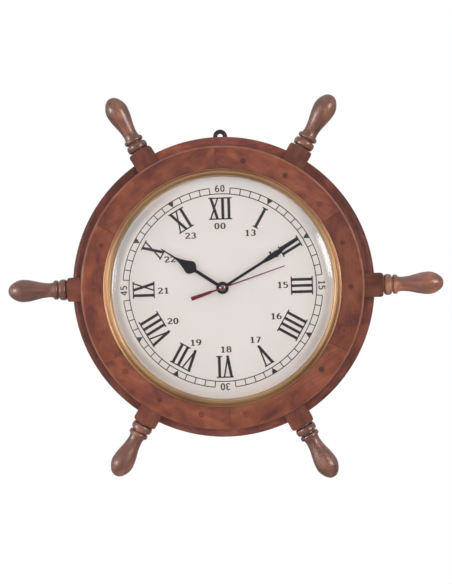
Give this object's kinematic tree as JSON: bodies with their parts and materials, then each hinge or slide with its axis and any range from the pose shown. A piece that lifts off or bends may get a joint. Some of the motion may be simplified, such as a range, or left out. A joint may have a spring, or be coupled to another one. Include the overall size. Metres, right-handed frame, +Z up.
{
  "type": "ship wheel wall clock",
  "caption": "Wooden ship's wheel wall clock with turned handles, brass bezel, domed glass, Roman dial, hands on concentric pipes and a battery quartz movement.",
  "frame": {"origin": "where the wall hook bears in the hanging eye at the top of the back, with the wall plane at y = 0", "axes": "+X to the right seen from the front, +Y into the wall, +Z up; the arbors of the hands lie along Y, 160.5 mm below the origin and 1.6 mm to the right"},
  "size_m": [0.4486, 0.0593, 0.3955],
  "materials": {
    "mahogany": "satin",
    "dark_mahogany": "satin",
    "turned_wood": "gloss",
    "end_grain": "satin",
    "polished_brass": "polished",
    "plain_brass": "satin",
    "clear_glass": "polished",
    "dial_paint": "matte",
    "navy_paint": "satin",
    "red_paint": "satin",
    "black_plastic": "matte",
    "white_plastic": "satin",
    "copper_winding": "satin",
    "silicon_steel": "satin",
    "board_laminate": "satin",
    "battery_jacket": "gloss",
    "nickel_plate": "polished",
    "bronzed_steel": "satin",
    "ferrite": "matte"
  },
  "bodies": {
    "wheel_and_case": {"rear_ring": "dark_mahogany", "core_ring": "dark_mahogany", "front_felloe_1": "mahogany", "front_felloe_2": "mahogany", "front_felloe_3": "mahogany", "front_felloe_4": "mahogany", "front_felloe_5": "mahogany", "front_felloe_6": "mahogany", "spoke_block_1": "mahogany", "spoke_block_2": "mahogany", "spoke_block_3": "mahogany", "spoke_block_4": "mahogany", "spoke_block_5": "mahogany", "spoke_block_6": "mahogany", "handle_1": "turned_wood", "handle_2": "turned_wood", "handle_3": "turned_wood", "handle_4": "turned_wood", "handle_5": "turned_wood", "handle_6": "turned_wood", "dowel_1": "end_grain", "dowel_2": "end_grain", "dowel_3": "end_grain", "dowel_4": "end_grain", "dowel_5": "end_grain", "dowel_6": "end_grain", "dowel_7": "end_grain", "dowel_8": "end_grain", "dowel_9": "end_grain", "dowel_10": "end_grain", "dowel_11": "end_grain", "dowel_12": "end_grain", "bezel": "polished_brass", "glass": "clear_glass", "glass_seat_ring": "plain_brass", "dial": "dial_paint", "stem_nut": "plain_brass", "stem_washer": "plain_brass", "movement_housing": "black_plastic", "movement_cover": "black_plastic", "battery": "battery_jacket", "contact_minus": "nickel_plate", "contact_plus": "nickel_plate", "coil": "copper_winding", "stator": "silicon_steel", "circuit_board": "board_laminate", "hanger_plate": "bronzed_steel", "hanger_screw_1": "bronzed_steel", "hanger_screw_2": "bronzed_steel"},
    "minute_train": {"minute_hand": "navy_paint", "centre_wheel": "plain_brass"},
    "hour_train": {"hour_hand": "navy_paint", "hour_wheel": "white_plastic"},
    "seconds_train": {"second_hand": "red_paint", "seconds_wheel": "white_plastic"},
    "third_train": {"third_wheel": "white_plastic"},
    "intermediate_train": {"intermediate_wheel": "white_plastic"},
    "rotor_body": {"rotor": "ferrite"},
    "motion_train": {"motion_wheel": "white_plastic"},
    "knob_body": {"setting_knob": "black_plastic"}
  },
  "joints": [
    {"name": "minute_hand_turn", "type": "hinge", "parent": "wheel_and_case", "child": "minute_train", "pos_m": [0.0016, 0, -0.1605], "axis": [0, 1, 0], "continuous": true},
    {"name": "hour_hand_turn", "type": "hinge", "parent": "wheel_and_case", "child": "hour_train", "pos_m": [0.0016, 0, -0.1605], "axis": [0, 1, 0], "continuous": true},
    {"name": "second_hand_turn", "type": "hinge", "parent": "wheel_and_case", "child": "seconds_train", "pos_m": [0.0016, 0, -0.1605], "axis": [0, 1, 0], "continuous": true},
    {"name": "third_wheel_turn", "type": "hinge", "parent": "wheel_and_case", "child": "third_train", "pos_m": [0.01006, 0, -0.15742], "axis": [0, 1, 0], "continuous": true},
    {"name": "intermediate_wheel_turn", "type": "hinge", "parent": "wheel_and_case", "child": "intermediate_train", "pos_m": [-0.00671, 0, -0.1557], "axis": [0, 1, 0], "continuous": true},
    {"name": "rotor_turn", "type": "hinge", "parent": "wheel_and_case", "child": "rotor_body", "pos_m": [-0.00793, 0, -0.14881], "axis": [0, 1, 0], "continuous": true},
    {"name": "motion_wheel_turn", "type": "hinge", "parent": "wheel_and_case", "child": "motion_train", "pos_m": [-0.00545, 0, -0.16307], "axis": [0, 1, 0], "continuous": true},
    {"name": "setting_knob_turn", "type": "hinge", "parent": "wheel_and_case", "child": "knob_body", "pos_m": [-0.01159, 0, -0.16737], "axis": [0, 1, 0], "continuous": true}
  ],
  "couplings": [
    {"joint": "hour_hand_turn", "follows": "minute_hand_turn", "ratio": 0.083333},
    {"joint": "second_hand_turn", "follows": "minute_hand_turn", "ratio": 60},
    {"joint": "third_wheel_turn", "follows": "minute_hand_turn", "ratio": -8},
    {"joint": "intermediate_wheel_turn", "follows": "minute_hand_turn", "ratio": -300},
    {"joint": "rotor_turn", "follows": "minute_hand_turn", "ratio": 1800},
    {"joint": "motion_wheel_turn", "follows": "minute_hand_turn", "ratio": -0.33333},
    {"joint": "setting_knob_turn", "follows": "minute_hand_turn", "ratio": 1}
  ]
}
